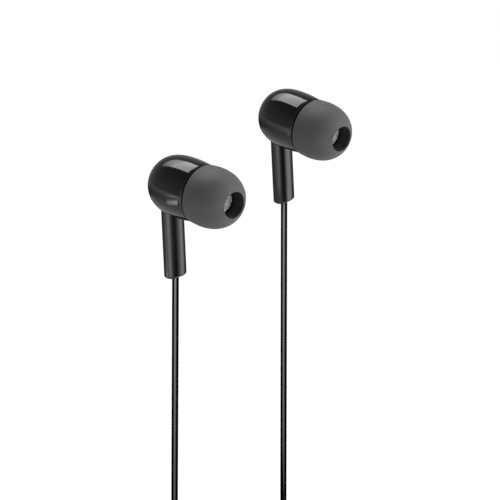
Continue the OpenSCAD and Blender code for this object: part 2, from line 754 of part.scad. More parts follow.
module plug_handle() {
    r = handle_d / 2;
    color(black_satin) at_plug() rotate_extrude() polygon([
        [pin_r, handle_top_z - seam],
        [r - 0.9, handle_top_z - seam],
        [r - 0.3, handle_top_z - 0.6],
        [r, handle_top_z - 2],
        [r, contact_z + 4],
        [r - 0.2, contact_z + 1.2],
        [r - 0.6, contact_z + 0.3],
        [r - 1, contact_z],
        [pin_r, contact_z]
    ]);
}
module band(from_z, to_z, r) {
    at_plug() translate([0, 0, to_z]) difference() {
        cylinder(r = r, h = from_z - to_z);
        translate([0, 0, -1]) cylinder(r = pin_r + seam, h = from_z - to_z + 2);
    }
}
module plug_sleeve_contact() {
    color(gold) band(contact_z - seam, sleeve_end_z, plug_r);
}
module plug_ring_contact() {
    color(gold) band(ring_top_z - seam, ring_end_z, plug_r);
}
module plug_insulators() {
    color(black_satin) band(sleeve_end_z - seam, ring_top_z, plug_r - band_inset);
    color(black_satin) band(ring_end_z - seam, tip_top_z, plug_r - band_inset);
}
// Tip contact: the rounded nose with its detent, and the pin that holds the stack together
module plug_tip_contact() {
    nose = tip_top_z - plug_end_z;
    color(gold) at_plug() rotate_extrude() polygon([
        [0, handle_top_z - 1],
        [pin_r - seam, handle_top_z - 1],
        [pin_r - seam, tip_top_z - seam],
        [plug_r, tip_top_z - seam],
        [plug_r, tip_top_z - 0.12 * nose],
        [plug_r * 0.72, tip_top_z - 0.3 * nose],
        [plug_r * 0.98, tip_top_z - 0.5 * nose],
        [plug_r * 0.9, tip_top_z - 0.66 * nose],
        [plug_r * 0.66, tip_top_z - 0.84 * nose],
        [plug_r * 0.36, tip_top_z - 0.96 * nose],
        [0, plug_end_z]
    ]);
}

left() ear_tip();  // left_ear_tip
left() nozzle_screen();  // left_nozzle_screen
left() front_cover();  // left_front_cover
left() rear_shell();  // left_rear_shell
left() stem();  // left_stem
left() driver_frame();  // left_driver_frame
left() driver_cap();  // left_driver_cap
left() diaphragm();  // left_diaphragm
left() voice_coil();  // left_voice_coil
left() top_plate();  // left_top_plate
left() magnet();  // left_magnet
left() yoke();  // left_yoke
left() terminal_board();  // left_terminal_board
left() inner_leads();  // left_inner_leads
left() cord_anchor();  // left_cord_anchor
cord_tube(left_route);  // left_cord
cord_hank(left_hank);  // left_cord_hank
cord_tube(left_end);  // left_cord_end
right() ear_tip();  // right_ear_tip
right() nozzle_screen();  // right_nozzle_screen
right() front_cover();  // right_front_cover
right() rear_shell();  // right_rear_shell
right() stem();  // right_stem
right() driver_frame();  // right_driver_frame
right() driver_cap();  // right_driver_cap
right() diaphragm();  // right_diaphragm
right() voice_coil();  // right_voice_coil
right() top_plate();  // right_top_plate
right() magnet();  // right_magnet
right() yoke();  // right_yoke
right() terminal_board();  // right_terminal_board
right() inner_leads();  // right_inner_leads
right() cord_anchor();  // right_cord_anchor
cord_tube(right_route);  // right_cord
cord_hank(right_hank);  // right_cord_hank
cord_tube(right_end);  // right_cord_end
y_splitter();
cord_tube(main_loop);  // main_cord_loop
cord_hank(main_hank);  // main_cord_hank
cord_tube(main_tail);  // main_cord_tail
hank_tie();
plug_strain_relief();
plug_handle();
plug_sleeve_contact();
plug_ring_contact();
plug_tip_contact();
plug_insulators();
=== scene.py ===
# %% [markdown]
# # Wired in-ear earphones
# Two identical earphones hang on thin round cords. Each one is a soft silicone tip on a nozzle, a glossy
# capsule that holds the driver, and a flat oval stem that guides the cord. The cords meet at a splitter,
# and one cord runs on to the plug. This lesson builds them piece by piece around the frame of the CAD
# model, so every size below is a real one, in millimetres, turned into metres as the mesh is made.

# %% Load the frame
import bpy
from math import acos, atan2, ceil, cos, pi, radians, sin
from mathutils import Matrix, Vector


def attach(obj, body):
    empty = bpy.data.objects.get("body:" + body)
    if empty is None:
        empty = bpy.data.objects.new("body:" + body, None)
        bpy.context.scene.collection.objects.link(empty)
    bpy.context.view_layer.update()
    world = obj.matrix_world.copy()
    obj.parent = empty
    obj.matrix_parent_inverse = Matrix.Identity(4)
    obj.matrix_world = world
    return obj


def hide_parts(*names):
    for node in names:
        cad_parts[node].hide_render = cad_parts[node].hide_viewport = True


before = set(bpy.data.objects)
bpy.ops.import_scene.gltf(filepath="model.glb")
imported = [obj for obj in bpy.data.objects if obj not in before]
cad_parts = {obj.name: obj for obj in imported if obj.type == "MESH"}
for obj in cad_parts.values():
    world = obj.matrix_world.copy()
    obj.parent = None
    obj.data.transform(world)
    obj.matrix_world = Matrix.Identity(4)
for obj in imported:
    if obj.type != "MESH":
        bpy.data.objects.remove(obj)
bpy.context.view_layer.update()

# %% [markdown]
# ## The camera
# A long lens far away keeps the small earphones free of perspective swelling. The camera looks down by
# 22 degrees and from 45 degrees to the side. Its three axes are written out, because a camera looks along
# its own minus z, with x to the right and y up. Its place is given along the same axes, in millimetres.

# %% Place the camera
mm = 0.001
side_angle, down_angle = radians(44.7776), radians(22.2823)
right_way = Vector((cos(side_angle), sin(side_angle), 0))
back_way = Vector((sin(side_angle) * cos(down_angle), -cos(side_angle) * cos(down_angle), sin(down_angle)))
up_way = back_way.cross(right_way)

lens_mm, sensor_mm = 212.04, 36
camera_right, camera_low, camera_far = 5.7801, 9.5118, 561.19


def place_object(name, data):
    piece = bpy.data.objects.new(name, data)
    bpy.context.scene.collection.objects.link(piece)
    return piece


camera_data = bpy.data.cameras.new("camera")
camera_data.sensor_width, camera_data.lens = sensor_mm, lens_mm
camera_data.clip_start, camera_data.clip_end = 0.01, 50
camera = place_object("camera", camera_data)
turn = Matrix((right_way, up_way, back_way)).transposed().to_4x4()
place = (right_way * camera_right - up_way * camera_low + back_way * camera_far) * mm
camera.matrix_world = Matrix.Translation(place) @ turn
bpy.context.scene.camera = camera
bpy.context.scene.view_settings.view_transform = "Standard"
print("camera at", [round(v, 3) for v in place])

# %% [markdown]
# ## The route of the cords
# A cord is one tube of fixed length. The long part that is not in use is folded into a hank, as it is when
# the earphones are put away: the cord runs up and down a racetrack, layer beside layer, and a tie draws
# its waist in. A formula gives the wound part, and a few listed points give the free bends. The
# hank's own directions are s along it, t across its layers and z up.

# %% Frames of the hank and of the two earphones
hank_centre = Vector((-15.05, 22.25, -101))
hank_turn = radians(16.7)
cord_d, cord_clear, layer_pitch = 1.35, 0.06, 1.9
# Half the length of a run, the radius of the outer folds, and how far the tie draws the waist in
hank_half, fold_r, waist = 12, 8.4, 2.2
# The axis of the left stem: where it starts, how far it leans forward, and how long it is
stem_x, stem_lean, stem_len = -13.35, radians(2.8), 19.373
# The step from the left earphone to the right one
pair = (Matrix.Translation((-10.9, 41.4, 0)) @ Matrix.Rotation(radians(3), 4, "Y")
        @ Matrix.Rotation(radians(4), 4, "X"))


def hank_point(s, t, z):
    return hank_centre + Vector((-s * sin(hank_turn) + t * cos(hank_turn),
                                 s * cos(hank_turn) + t * sin(hank_turn), z))


def layer_t(k):
    return (k - 3.5) * layer_pitch


def down_stem(far):
    return Vector((stem_x + far * sin(stem_lean), 0, -far * cos(stem_lean)))


print("cord leaves the left stem at", [round(v, 2) for v in down_stem(stem_len)])


# %% [markdown]
# Seen from the side, a turn of the hank is a racetrack: two half rounds, joined by two runs that the tie
# pinches at the waist. Where a cord passes to the next layer, it does so along a run, in one smooth step.

# %% The racetrack that the hank follows
def track(phase, r):
    """A place on the racetrack: phase 0 is the middle of the far fold, and one turn is a whole round."""
    f = phase % 1
    w1, w2 = (f - 1 / 8) * 4, (f - 5 / 8) * 4
    if f < 1 / 8:
        return hank_half + r * cos(4 * pi * f), r * sin(4 * pi * f)
    if f < 3 / 8:
        return hank_half - w1 * 2 * hank_half, r - waist * (1 - cos(2 * pi * w1)) / 2
    if f < 5 / 8:
        return -hank_half + r * cos(4 * pi * f - pi), r * sin(4 * pi * f - pi)
    if f < 7 / 8:
        return -hank_half + w2 * 2 * hank_half, -r + waist * (1 - cos(2 * pi * w2)) / 2
    return hank_half + r * cos(4 * pi * f - 4 * pi), r * sin(4 * pi * f - 4 * pi)


def climb(u, at):
    """A smooth step of one layer while the cord passes along a run."""
    w = (u - at) * 4 + 0.5
    return 0 if w <= 0 else 1 if w >= 1 else (1 - cos(pi * w)) / 2


# %% [markdown]
# A branch winds inwards, passes to the layer beside it and winds outwards again. The main cord does the same
# on four layers. So the folds nest, and both ends of a cord come out at the outside of the hank.

# %% Wind the branches and the main cord
turn_points = 96
branch_flip, branch_turns = 1.125, 2.5
main_flips, main_turns = (2.25, 4.25, 6.25), 8.5


def branch_r(u):
    return fold_r - layer_pitch * (u if u < branch_flip else 2 * branch_flip - u)


def branch_winding(side, layer, step):
    wound = []
    for i in range(int(branch_turns * turn_points) + 1):
        u = i / turn_points
        s, z = track(u + 1 / 8, branch_r(u))
        wound.append(hank_point(side * s, layer_t(layer + step * climb(u, branch_flip)), z))
    return wound


def main_r(u):
    a, b, c = main_flips
    spiral = u if u < a else 2 * a - u if u < b else u - 2 * (b - a) if u < c else 2 * c - u - 2 * (b - a)
    return fold_r - layer_pitch * spiral


def main_winding():
    wound = [hank_point(hank_half + fold_r, layer_t(4), -cord_d)]
    for i in range(int(main_turns * turn_points) + 1):
        u = i / turn_points
        s, z = track(u, main_r(u))
        wound.append(hank_point(s, layer_t(4 + sum(climb(u, flip) for flip in main_flips)), z))
    return wound + [hank_point(-hank_half - main_r(main_turns), layer_t(7), -cord_d)]


print("points in the main winding:", len(main_winding()))

# %% [markdown]
# No formula fits the stretches between the windings and the stems, the splitter and the plug. A few points
# are given for them, close together where the bend is tight.

# %% Points of the free bends
# Onto the top run: [s, height over that run]
bend_points = [(22.4, 3.6), (22.3, 2.65), (21.9, 1.8), (21.35, 1.05), (20.6, 0.5), (19.75, 0.1), (18.8, 0),
               (16, 0), (13.2, 0)]
# From the bottom run to the splitter: [s, share of the way across the layers, height over that run]
branch_s = 0.95
end_points = [(10.8, 0, 0), (10.4, 0, 0), (9.6, 0, -0.15), (8.8, 0, -0.55), (8.1, 0, -1.1), (7.6, 0, -1.85),
              (7.3, 0, -2.7), (7.2, 0, -3.6), (6.8, 0.07, -6.4), (5.6, 0.25, -9.2), (4, 0.5, -12),
              (2.45, 0.75, -14.8), (1.3, 0.93, -17.6), (branch_s, 1, -20.4)]
# Under the splitter and up to the far fold: [share of the way to the fold, share across the layers, height]
fold_s = hank_half + fold_r
loop_points = [(0, 0, -1.2), (0.018, 0.02, -3.7), (0.066, 0.07, -6.1), (0.145, 0.15, -8.1),
               (0.25, 0.25, -9.7), (0.37, 0.37, -10.65), (0.5, 0.5, -11), (0.63, 0.63, -10.65),
               (0.75, 0.75, -9.7), (0.855, 0.85, -8.1), (0.934, 0.93, -6.1), (0.982, 0.98, -3.7),
               (1, 1, -1.2)]
# Up from there to the far fold, and down from the near fold to the plug: heights
rise_heights, tail_heights = (-40, -36, -30, -24, -18, -12, -6), (-6, -12, -18, -24, -28.65)
# The splitter's ends, how deep the cords sit in it, and how deep they sit in the stems
splitter_top, splitter_end, splitter_seat, stem_seat = -30, -42, 2, 2.1
splitter_t = layer_t(1.5)


def between(a, b, share):
    return a * (1 - share) + b * share


def straight(a, b, step=3.6):
    count = max(1, round((b - a).length / step))
    return [between(a, b, i / count) for i in range(count)]


def branch_bend(side, layer):
    return [hank_point(side * s, layer_t(layer), branch_r(0) + z) for s, z in bend_points]


def branch_end(side, layer):
    bottom = -branch_r(branch_turns)
    drop = [hank_point(-side * s, between(layer_t(layer), splitter_t, share), z + bottom)
            for s, share, z in end_points]
    return drop + [hank_point(-side * branch_s, splitter_t, splitter_top - splitter_seat)]


# %% [markdown]
# The given points are far apart, so each bend is rounded by a curve that passes through all of them.
# The spacing of the points sets its pace (the centripetal form), which keeps it from swinging out where a
# long straight stretch meets a short bend.

# %% Smooth a route
def rounded_route(points, fill=4):
    points = [points[0] * 2 - points[1], *points, points[-1] * 2 - points[-2]]
    route = []
    for p0, p1, p2, p3 in zip(points, points[1:], points[2:], points[3:]):
        t0 = 0
        t1 = t0 + (p1 - p0).length ** 0.5
        t2 = t1 + (p2 - p1).length ** 0.5
        t3 = t2 + (p3 - p2).length ** 0.5
        for i in range(fill):
            t = between(t1, t2, i / fill)
            a1 = between(p0, p1, (t - t0) / (t1 - t0))
            a2 = between(p1, p2, (t - t1) / (t2 - t1))
            a3 = between(p2, p3, (t - t2) / (t3 - t2))
            b1 = between(a1, a2, (t - t0) / (t2 - t0))
            b2 = between(a2, a3, (t - t1) / (t3 - t1))
            route.append(between(b1, b2, (t - t1) / (t2 - t1)))
    return route + [points[-2]]


def branch_route(seat, leave, side, layer, step):
    """Out of a stem, straight to the hank, round it, and down to the splitter."""
    bend = branch_bend(side, layer)
    hang = straight(leave, bend[0])
    return ([seat] + hang[:-1] + rounded_route([hang[-1], *bend])[:-1]
            + branch_winding(side, layer, step) + rounded_route(branch_end(side, layer + step)))


cord_seat, cord_exit = down_stem(stem_len - stem_seat), down_stem(stem_len)
left_route = branch_route(cord_seat, cord_exit, -1, 1, -1)
right_route = branch_route(pair @ cord_seat, pair @ cord_exit, 1, 2, 1)

under_loop = [hank_point(far * fold_s, between(splitter_t, layer_t(4), share), z + splitter_end)
              for far, share, z in loop_points]
rise = [hank_point(fold_s, layer_t(4), z) for z in rise_heights]
tail_top = hank_point(-fold_s, layer_t(7), -cord_d)
plug_axis = hank_point(-fold_s, layer_t(7), 0)
main_start = hank_point(0, splitter_t, splitter_end + splitter_seat)
main_route = (rounded_route([main_start, *under_loop, rise[0]])[:-1] + rise + main_winding()
              + [tail_top + Vector((0, 0, z)) for z in tail_heights])
print("points of the routes:", len(left_route), len(right_route), len(main_route))


# %% [markdown]
# ## The cords
# A cord is drawn as a curve with a round bevel, as a maker draws a pipe along a line. It stays a curve, so
# its length can be measured along its own centreline.

# %% Draw the cords
def draw_cord(name, route):
    path = bpy.data.curves.new(name, "CURVE")
    path.dimensions = "3D"
    path.bevel_depth = cord_d / 2 * mm
    path.bevel_resolution = 6
    path.use_fill_caps = True
    line = path.splines.new("POLY")
    line.points.add(len(route) - 1)
    for spot, p in zip(line.points, route):
        spot.co = (*(p * mm), 1)
    return place_object(name, path), sum((b - a).length for a, b in zip(route, route[1:])) * mm


left_branch, left_length = draw_cord("left_branch", left_route)
right_branch, right_length = draw_cord("right_branch", right_route)
main_lead, main_length = draw_cord("main_lead", main_route)
print("cord lengths in m:", round(left_length, 4), round(right_length, 4), round(main_length, 4))

# %% [markdown]
# ## Tools for turned and drawn pieces
# Most pieces of an earphone are bodies of revolution, moulded or turned. As by hand, the profile is drawn
# first: a single point is extruded from corner to corner. Then the profile is spun round its axis, the
# doubled seam is merged and the faces are turned outwards.

# %% Draw a profile and spin it
def deselect():
    bpy.ops.object.select_all(action="DESELECT")


def take_all():
    """Selects all of the mesh that is being edited."""
    bpy.ops.mesh.select_all(action="SELECT")


def only(piece):
    deselect()
    piece.select_set(True)
    bpy.context.view_layer.objects.active = piece


def finish_piece(piece, smooth=35):
    """Leaves edit mode, puts the place into the mesh and shades the flat and the round faces."""
    if bpy.context.object.mode == "EDIT":
        bpy.ops.object.mode_set(mode="OBJECT")
    only(piece)
    bpy.ops.object.transform_apply(location=True, rotation=True, scale=True)
    bpy.ops.object.shade_smooth_by_angle(angle=radians(smooth))
    return piece


def spin_profile(name, profile, steps=128, centre=(0, 0, 0), axis="X", closed=True, smooth=35):
    """Spins (along, radius) points in millimetres round an axis through centre."""
    along, out = Vector((1, 0, 0)), Vector((0, 0, 1))
    if axis == "Z":
        along, out = out, along
    spots = [Vector(centre) + along * a + out * r for a, r in profile]
    if closed:
        spots.append(spots[0])
    deselect()
    bpy.ops.mesh.primitive_plane_add(size=0.1 * mm, location=spots[0] * mm)
    piece = bpy.context.object
    piece.name = piece.data.name = name
    bpy.ops.object.mode_set(mode="EDIT")
    bpy.ops.mesh.select_mode(type="VERT")
    take_all()
    bpy.ops.mesh.merge(type="CENTER")
    for a, b in zip(spots, spots[1:]):
        bpy.ops.mesh.extrude_vertices_move(TRANSFORM_OT_translate={"value": (b - a) * mm})
    take_all()
    bpy.ops.mesh.spin(steps=steps, angle=2 * pi, center=Vector(centre) * mm, axis=along)
    take_all()
    bpy.ops.mesh.remove_doubles(threshold=2e-6)
    bpy.ops.mesh.normals_make_consistent(inside=False)
    finish_piece(piece, smooth)
    print(name, "has", len(piece.data.vertices), "points")
    return piece


def arc(centre, r, start, end, count=6):
    """Points of a rounded corner in a profile, from one angle to the other in degrees."""
    angles = [radians(between(start, end, i / count)) for i in range(count + 1)]
    return [(centre[0] + r * cos(a), centre[1] + r * sin(a)) for a in angles]


# %% [markdown]
# ## Twins
# The right earphone is the same set of pieces, 41 mm to the side and turned by a few degrees. Each piece
# is copied with its own mesh, and the place goes into the mesh, so that the object stays at the origin.

# %% Copy a piece to the right earphone
def right_twin(piece):
    only(piece)
    bpy.ops.object.duplicate()
    twin = bpy.context.object
    twin.name = twin.data.name = piece.name.replace("left", "right")
    move = pair.copy()
    move.translation = pair.translation * mm
    twin.data.transform(move)
    return twin


# %% [markdown]
# ## The ear tips
# A tip is an umbrella of soft silicone, moulded in one piece with the collar that grips the nozzle. Its
# dome is a superellipse, rounder than a ball at the rim and flatter in front. The wall is about half a
# millimetre thick, and all its free edges are rounded, because a mould cannot make them sharp.

# %% Ear tips
tip_r, tip_mouth_r, tip_front, tip_rear = 6, 2.75, 3.95, -4.3
dome_x, dome_shape, tip_wall = -2.5, 2.3, 0.55
collar_r, collar_out_r, collar_rear, collar_round = 2.65, 3.35, -4.15, 0.2
dome_long = (tip_front - dome_x) / (1 - (tip_mouth_r / tip_r) ** dome_shape) ** (1 / dome_shape)


def dome_point(grow, angle):
    return (dome_x + (dome_long + grow) * sin(angle) ** (2 / dome_shape),
            (tip_r + grow) * cos(angle) ** (2 / dome_shape))


def dome_angle(grow, r):
    return acos((r / (tip_r + grow)) ** (dome_shape / 2))


# Where the dome ends at the lip, and where it meets the collar inside
mouth_angle, root_angle = dome_angle(0, tip_mouth_r + 0.22), dome_angle(-tip_wall, collar_out_r + 0.3)
hem_edge, bore_margin = 0.12, 0.08
skirt = tip_r - hem_edge
outside = [(tip_rear + hem_edge, skirt)] + [dome_point(0, mouth_angle * i / 40) for i in range(41)]
lip_x, lip_r = outside[-1]
lip = [(lip_x + 0.1, lip_r - 0.1), (lip_x + 0.13, lip_r - 0.2), (lip_x + 0.11, lip_r - 0.29),
       (lip_x + 0.02, lip_r - 0.35), (lip_x - 0.12, collar_r + 0.01), (lip_x - 0.35, collar_r)]
round_x = collar_rear + collar_round
collar = ([(0.9, collar_r), (round_x, collar_r)]
          + arc((round_x, collar_r + collar_round), collar_round, 270, 180)[1:]
          + arc((round_x, collar_out_r - collar_round), collar_round, 180, 90))
inside = [dome_point(-tip_wall, root_angle * i / 30) for i in range(30, -1, -1)]
root_x = inside[0][0]
root = [(root_x - 0.55, collar_out_r), (root_x - 0.3, collar_out_r + 0.03),
        (root_x - 0.1, collar_out_r + 0.13)]
hem = [(tip_rear + 0.16, skirt - tip_wall)] + arc((tip_rear + tip_wall / 2, skirt - tip_wall / 2),
                                                  tip_wall / 2, 250, 120, 6)
left_tip = spin_profile("left_tip", outside + lip + collar + root + inside + hem, steps=160, smooth=60)

# %% [markdown]
# The bore is the same silicone, but it is painted darker than the dome, as painted shade for the deep recess.
# Its points are marked with an attribute, which goes with the mesh when it is copied, and which the finish
# reads later.

# %% Mark the bore and copy the tip
in_bore = left_tip.data.attributes.new("in_bore", "FLOAT", "POINT")
for mark, vertex in zip(in_bore.data, left_tip.data.vertices):
    mark.value = (vertex.co.x < (lip_x - bore_margin) * mm
                  and vertex.co.yz.length < (collar_r + bore_margin) * mm)
right_tip = right_twin(left_tip)
print("points in the bore:", sum(mark.value > 0 for mark in in_bore.data))

# %% [markdown]
# ## The capsules
# The rear shell is a polished moulding with a thin wall. Its back is another superellipse, blunter than a
# ball. It narrows a little towards the front cover, along one smooth curve, because a gloss finish shows
# every kink as a broken reflection.

# %% Rear shells
housing_r, front_r, wide_x, rim_x, shell_wall = 6.05, 5.75, -9.1, -5.15, 0.8
shell_long, shell_shape = 7.6, 2.7


def shell_back(grow, count=44):
    steps = [pi / 2 * i / count for i in range(count + 1)]
    return [(wide_x - (shell_long + grow) * sin(a) ** (2 / shell_shape),
             (housing_r + grow) * cos(a) ** (2 / shell_shape) if a < pi / 2 - 1e-6 else 0) for a in steps]


def shell_side(grow, count=12):
    """From the rim back to the widest place, level where it meets the dome."""
    spots = []
    for i in range(count):
        w = 1 - i / count
        spots.append((between(wide_x, rim_x, w), housing_r - (housing_r - front_r) * w * w + grow))
    return spots


rim_edge, rim_round = 0.12, 0.035
shell_profile = (
    shell_back(-shell_wall)[::-1] + shell_side(-shell_wall, 4)[:0:-1]
    + [(rim_x, front_r - shell_wall), (rim_x, front_r - rim_edge), (rim_x - rim_round, front_r - rim_round)]
    + [(x, r) for x, r in shell_side(0) if x < rim_x - rim_edge] + shell_back(0))
left_shell = spin_profile("left_shell", shell_profile, steps=160, closed=False, smooth=50)
right_shell = right_twin(left_shell)

# %% [markdown]
# ## The front covers
# The cover closes the shell in front. It is one moulding with the nozzle, and the barb on the nozzle holds
# the tip. Only the edge of its plate shows, as a dark line behind the tip, and the end of its bore.

# %% Front covers
front_x, cover_in_x, nozzle_end = -4.8, -6.0, 1.1
barb_r, neck_r, nozzle_bore, screen_r = 2.6, 2.45, 1.95, 2.15
spigot_x, spigot_in_r, spigot_r, cover_round, seam, screen_seat = -6.58, 4.35, 4.85, 0.3, 0.02, 0.17
left_cover = spin_profile("left_cover", [
    (spigot_x, spigot_in_r), (spigot_x, spigot_r), (rim_x + seam, spigot_r), (rim_x + seam, front_r),
    *arc((front_x - cover_round, front_r - 0.35), cover_round, 80, 5, 5),
    (front_x, front_r - 0.8), (front_x, neck_r + cover_round),
    *arc((front_x + cover_round, neck_r + cover_round), cover_round, 180, 270, 4),
    (-0.1, neck_r), (0.06, barb_r - 0.02), (0.12, barb_r),
    (nozzle_end - 0.2, barb_r), (nozzle_end - 0.06, barb_r - 0.06), (nozzle_end, barb_r - 0.2),
    (nozzle_end, screen_r + seam), (nozzle_end - screen_seat, screen_r + seam),
    (nozzle_end - screen_seat, nozzle_bore), (cover_in_x, nozzle_bore), (cover_in_x, spigot_in_r)],
    steps=128, smooth=30)
right_cover = right_twin(left_cover)

# %% [markdown]
# ## The wire screens
# A screen in the end of the nozzle keeps dust out of the driver. It is woven: every wire passes over and
# under its neighbours. The wires are drawn as waves, one set a half wave behind the other, and are cut to
# the round of the seat.

# %% Woven screens
wire_pitch, wire_r, wave_steps = 0.34, 0.09, 4
screen_x = nozzle_end - 0.09


def woven_screen(name, x, r):
    weave = bpy.data.curves.new(name, "CURVE")
    weave.dimensions = "3D"
    weave.bevel_depth = wire_r * mm
    weave.bevel_resolution = 1
    count = int(r / wire_pitch)
    for across in (False, True):
        for k in range(-count, count + 1):
            v = k * wire_pitch
            reach = (r * r - v * v) ** 0.5
            steps = max(wave_steps, ceil(2 * reach / wire_pitch * wave_steps))
            line = weave.splines.new("POLY")
            line.points.add(steps)
            for i, spot in enumerate(line.points):
                u = -reach + 2 * reach * i / steps
                lift = wire_r * cos(pi * u / wire_pitch) * (-1 if (k + across) % 2 else 1)
                spot.co = (*(Vector((x + lift, *((u, v) if across else (v, u)))) * mm), 1)
    only(place_object(name, weave))
    bpy.ops.object.convert(target="MESH")
    return finish_piece(bpy.context.object, 60)


left_screen = woven_screen("left_screen", screen_x, screen_r)
right_screen = right_twin(left_screen)
print("the screen has", len(left_screen.data.polygons), "faces")

# %% [markdown]
# ## The stems
# The stem is an oval blade that hangs from the shell and leans forward a little. Its section is a
# superellipse, almost a rounded box. The outline is drawn once, pulled down the blade ring by ring, and
# closed with a rounded lower edge. A cutter then opens the hole for the cord.

# %% Rings and lofts
def oval_ring(name, half_x, half_y, z, shape=2.6, count=96):
    """A circle that is pressed to an oval outline, left in edit mode with the ring selected."""
    deselect()
    bpy.ops.mesh.primitive_circle_add(vertices=count, radius=1 * mm, location=(0, 0, z * mm))
    bpy.ops.object.transform_apply(location=True)
    piece = bpy.context.object
    piece.name = piece.data.name = name
    for v in piece.data.vertices:
        a = atan2(v.co.y, v.co.x)
        c, s = cos(a), sin(a)
        v.co.x = half_x * mm * (abs(c) ** (2 / shape)) * (1 if c > 0 else -1)
        v.co.y = half_y * mm * (abs(s) ** (2 / shape)) * (1 if s > 0 else -1)
    bpy.ops.object.mode_set(mode="EDIT")
    take_all()
    return piece


def oval_loft(name, rings, shape=2.6, count=96):
    """Pulls an oval outline through rings of (z, half width in x, half width in y) and closes both ends."""
    z0, x0, y0 = rings[0]
    piece = oval_ring(name, x0, y0, z0, shape, count)
    bpy.ops.mesh.edge_face_add()
    for (za, xa, ya), (zb, xb, yb) in zip(rings, rings[1:]):
        bpy.ops.mesh.extrude_region_move(TRANSFORM_OT_translate={"value": (0, 0, (zb - za) * mm)})
        bpy.ops.transform.resize(value=(xb / xa, yb / ya, 1), center_override=(0, 0, zb * mm))
    take_all()
    bpy.ops.mesh.normals_make_consistent(inside=False)
    bpy.ops.object.mode_set(mode="OBJECT")
    return piece


def drill(piece, x, y, low, high, r):
    """Cuts a round hole along z, and takes the cutter away again."""
    deselect()
    bpy.ops.mesh.primitive_cylinder_add(vertices=48, radius=r * mm, depth=(high - low) * mm,
                                        location=(x * mm, y * mm, (high + low) / 2 * mm))
    cutter = bpy.context.object
    only(piece)
    cut = piece.modifiers.new("drill", "BOOLEAN")
    cut.operation, cut.solver, cut.object = "DIFFERENCE", "EXACT", cutter
    bpy.ops.object.modifier_apply(modifier=cut.name)
    bpy.data.objects.remove(cutter)


# %% [markdown]
# The blade starts inside the shell, so that no gap opens between the two. Its lower edge is a quarter of a
# circle: the rings come closer together and shrink along it. The hole leaves a hair of room round the cord.

# %% Stems
stem_half_x, stem_half_y, stem_round = 1.5, 2.45, 0.6
stem_hole, hole_r = 1.5, cord_d / 2 + cord_clear
edge = [(stem_round * (1 - sin(radians(a))), stem_round * (1 - cos(radians(a)))) for a in range(0, 91, 10)]
stem_rings = [(z, stem_half_x, stem_half_y) for z in (-4.4, -6, -9, -12, -15)] + [
    (-stem_len + rise_z, stem_half_x - shrink, stem_half_y - shrink) for rise_z, shrink in edge]
left_stem = oval_loft("left_stem_blade", stem_rings)
drill(left_stem, 0, 0, -stem_len - 1, -stem_len + stem_hole, hole_r)
left_stem.matrix_world = Matrix.Translation((stem_x * mm, 0, 0)) @ Matrix.Rotation(-stem_lean, 4, "Y")
finish_piece(left_stem, 30)
right_stem = right_twin(left_stem)
print("stem ends at", [round(v, 2) for v in down_stem(stem_len)])

# %% [markdown]
# ## The splitter
# The splitter is an oval moulding with two cords going in and one coming out. It is lofted like the stem,
# from the neck round the one cord up to the wide end for the two, and drilled from both ends.

# %% Splitter
neck, wide = (1.2, 1.45), (1.5, 2.4)
splitter_z = hank_centre.z


def splitter_ring(z, share, shrink=0):
    half = [between(n, w, share) - shrink for n, w in zip(neck, wide)]
    return (z + splitter_z, *half)


splitter = oval_loft("splitter", [splitter_ring(*ring) for ring in [
    (-42, 0, 0.2), (-41.93, 0, 0.08), (-41.8, 0, 0.01), (-41.6, 0), (-39.4, 0.18), (-37.2, 0.5),
    (-35.2, 0.85), (-33.6, 1), (-30.4, 1), (-30.2, 1, 0.01), (-30.07, 1, 0.08), (-30, 1, 0.2)]])
wide_top, neck_end, hole_depth = splitter_z + splitter_top, splitter_z + splitter_end, splitter_seat + 0.1
for s in (-branch_s, branch_s):
    drill(splitter, 0, s, wide_top - hole_depth, wide_top + 1, hole_r)
drill(splitter, 0, 0, neck_end - 1, neck_end + hole_depth, hole_r)
splitter_spot = hank_point(0, splitter_t, 0)
splitter.matrix_world = (Matrix.Translation((splitter_spot.x * mm, splitter_spot.y * mm, 0))
                         @ Matrix.Rotation(hank_turn, 4, "Z"))
finish_piece(splitter, 40)

# %% [markdown]
# ## The tie
# A flat band holds the hank together at its waist. Its outline is a rectangle with rounded corners, which is
# pulled to the band's width. A Solidify modifier gives it its thickness, and a small bevel takes off the
# sharp edges.

# %% Tie
tie_t, tie_w, tie_clear, tie_edge = 0.8, 3, 0.15, 0.18
tie_half_t = layer_t(7) + cord_d / 2 + tie_clear
tie_half_z = fold_r - waist + cord_d / 2 + tie_clear
deselect()
bpy.ops.mesh.primitive_plane_add(size=1)
tie = bpy.context.object
tie.name = tie.data.name = "tie"
bpy.ops.object.mode_set(mode="EDIT")
take_all()
bpy.ops.transform.resize(value=(2 * tie_half_t * mm, 2 * tie_half_z * mm, 1), center_override=(0, 0, 0))
bpy.ops.mesh.delete(type="ONLY_FACE")
take_all()
bpy.ops.mesh.bevel(offset=cord_d / 2 * mm, segments=6, affect="VERTICES")
bpy.ops.mesh.extrude_edges_move(TRANSFORM_OT_translate={"value": (0, 0, tie_w * mm)})
take_all()
bpy.ops.transform.translate(value=(0, 0, -tie_w / 2 * mm))
bpy.ops.mesh.normals_make_consistent(inside=False)
bpy.ops.object.mode_set(mode="OBJECT")
thick = tie.modifiers.new("band", "SOLIDIFY")
thick.thickness, thick.offset = tie_t * mm, 1
bpy.ops.object.modifier_apply(modifier=thick.name)
soft_edge = tie.modifiers.new("soft edge", "BEVEL")
soft_edge.width, soft_edge.segments, soft_edge.limit_method = tie_edge * mm, 3, "ANGLE"
bpy.ops.object.modifier_apply(modifier=soft_edge.name)
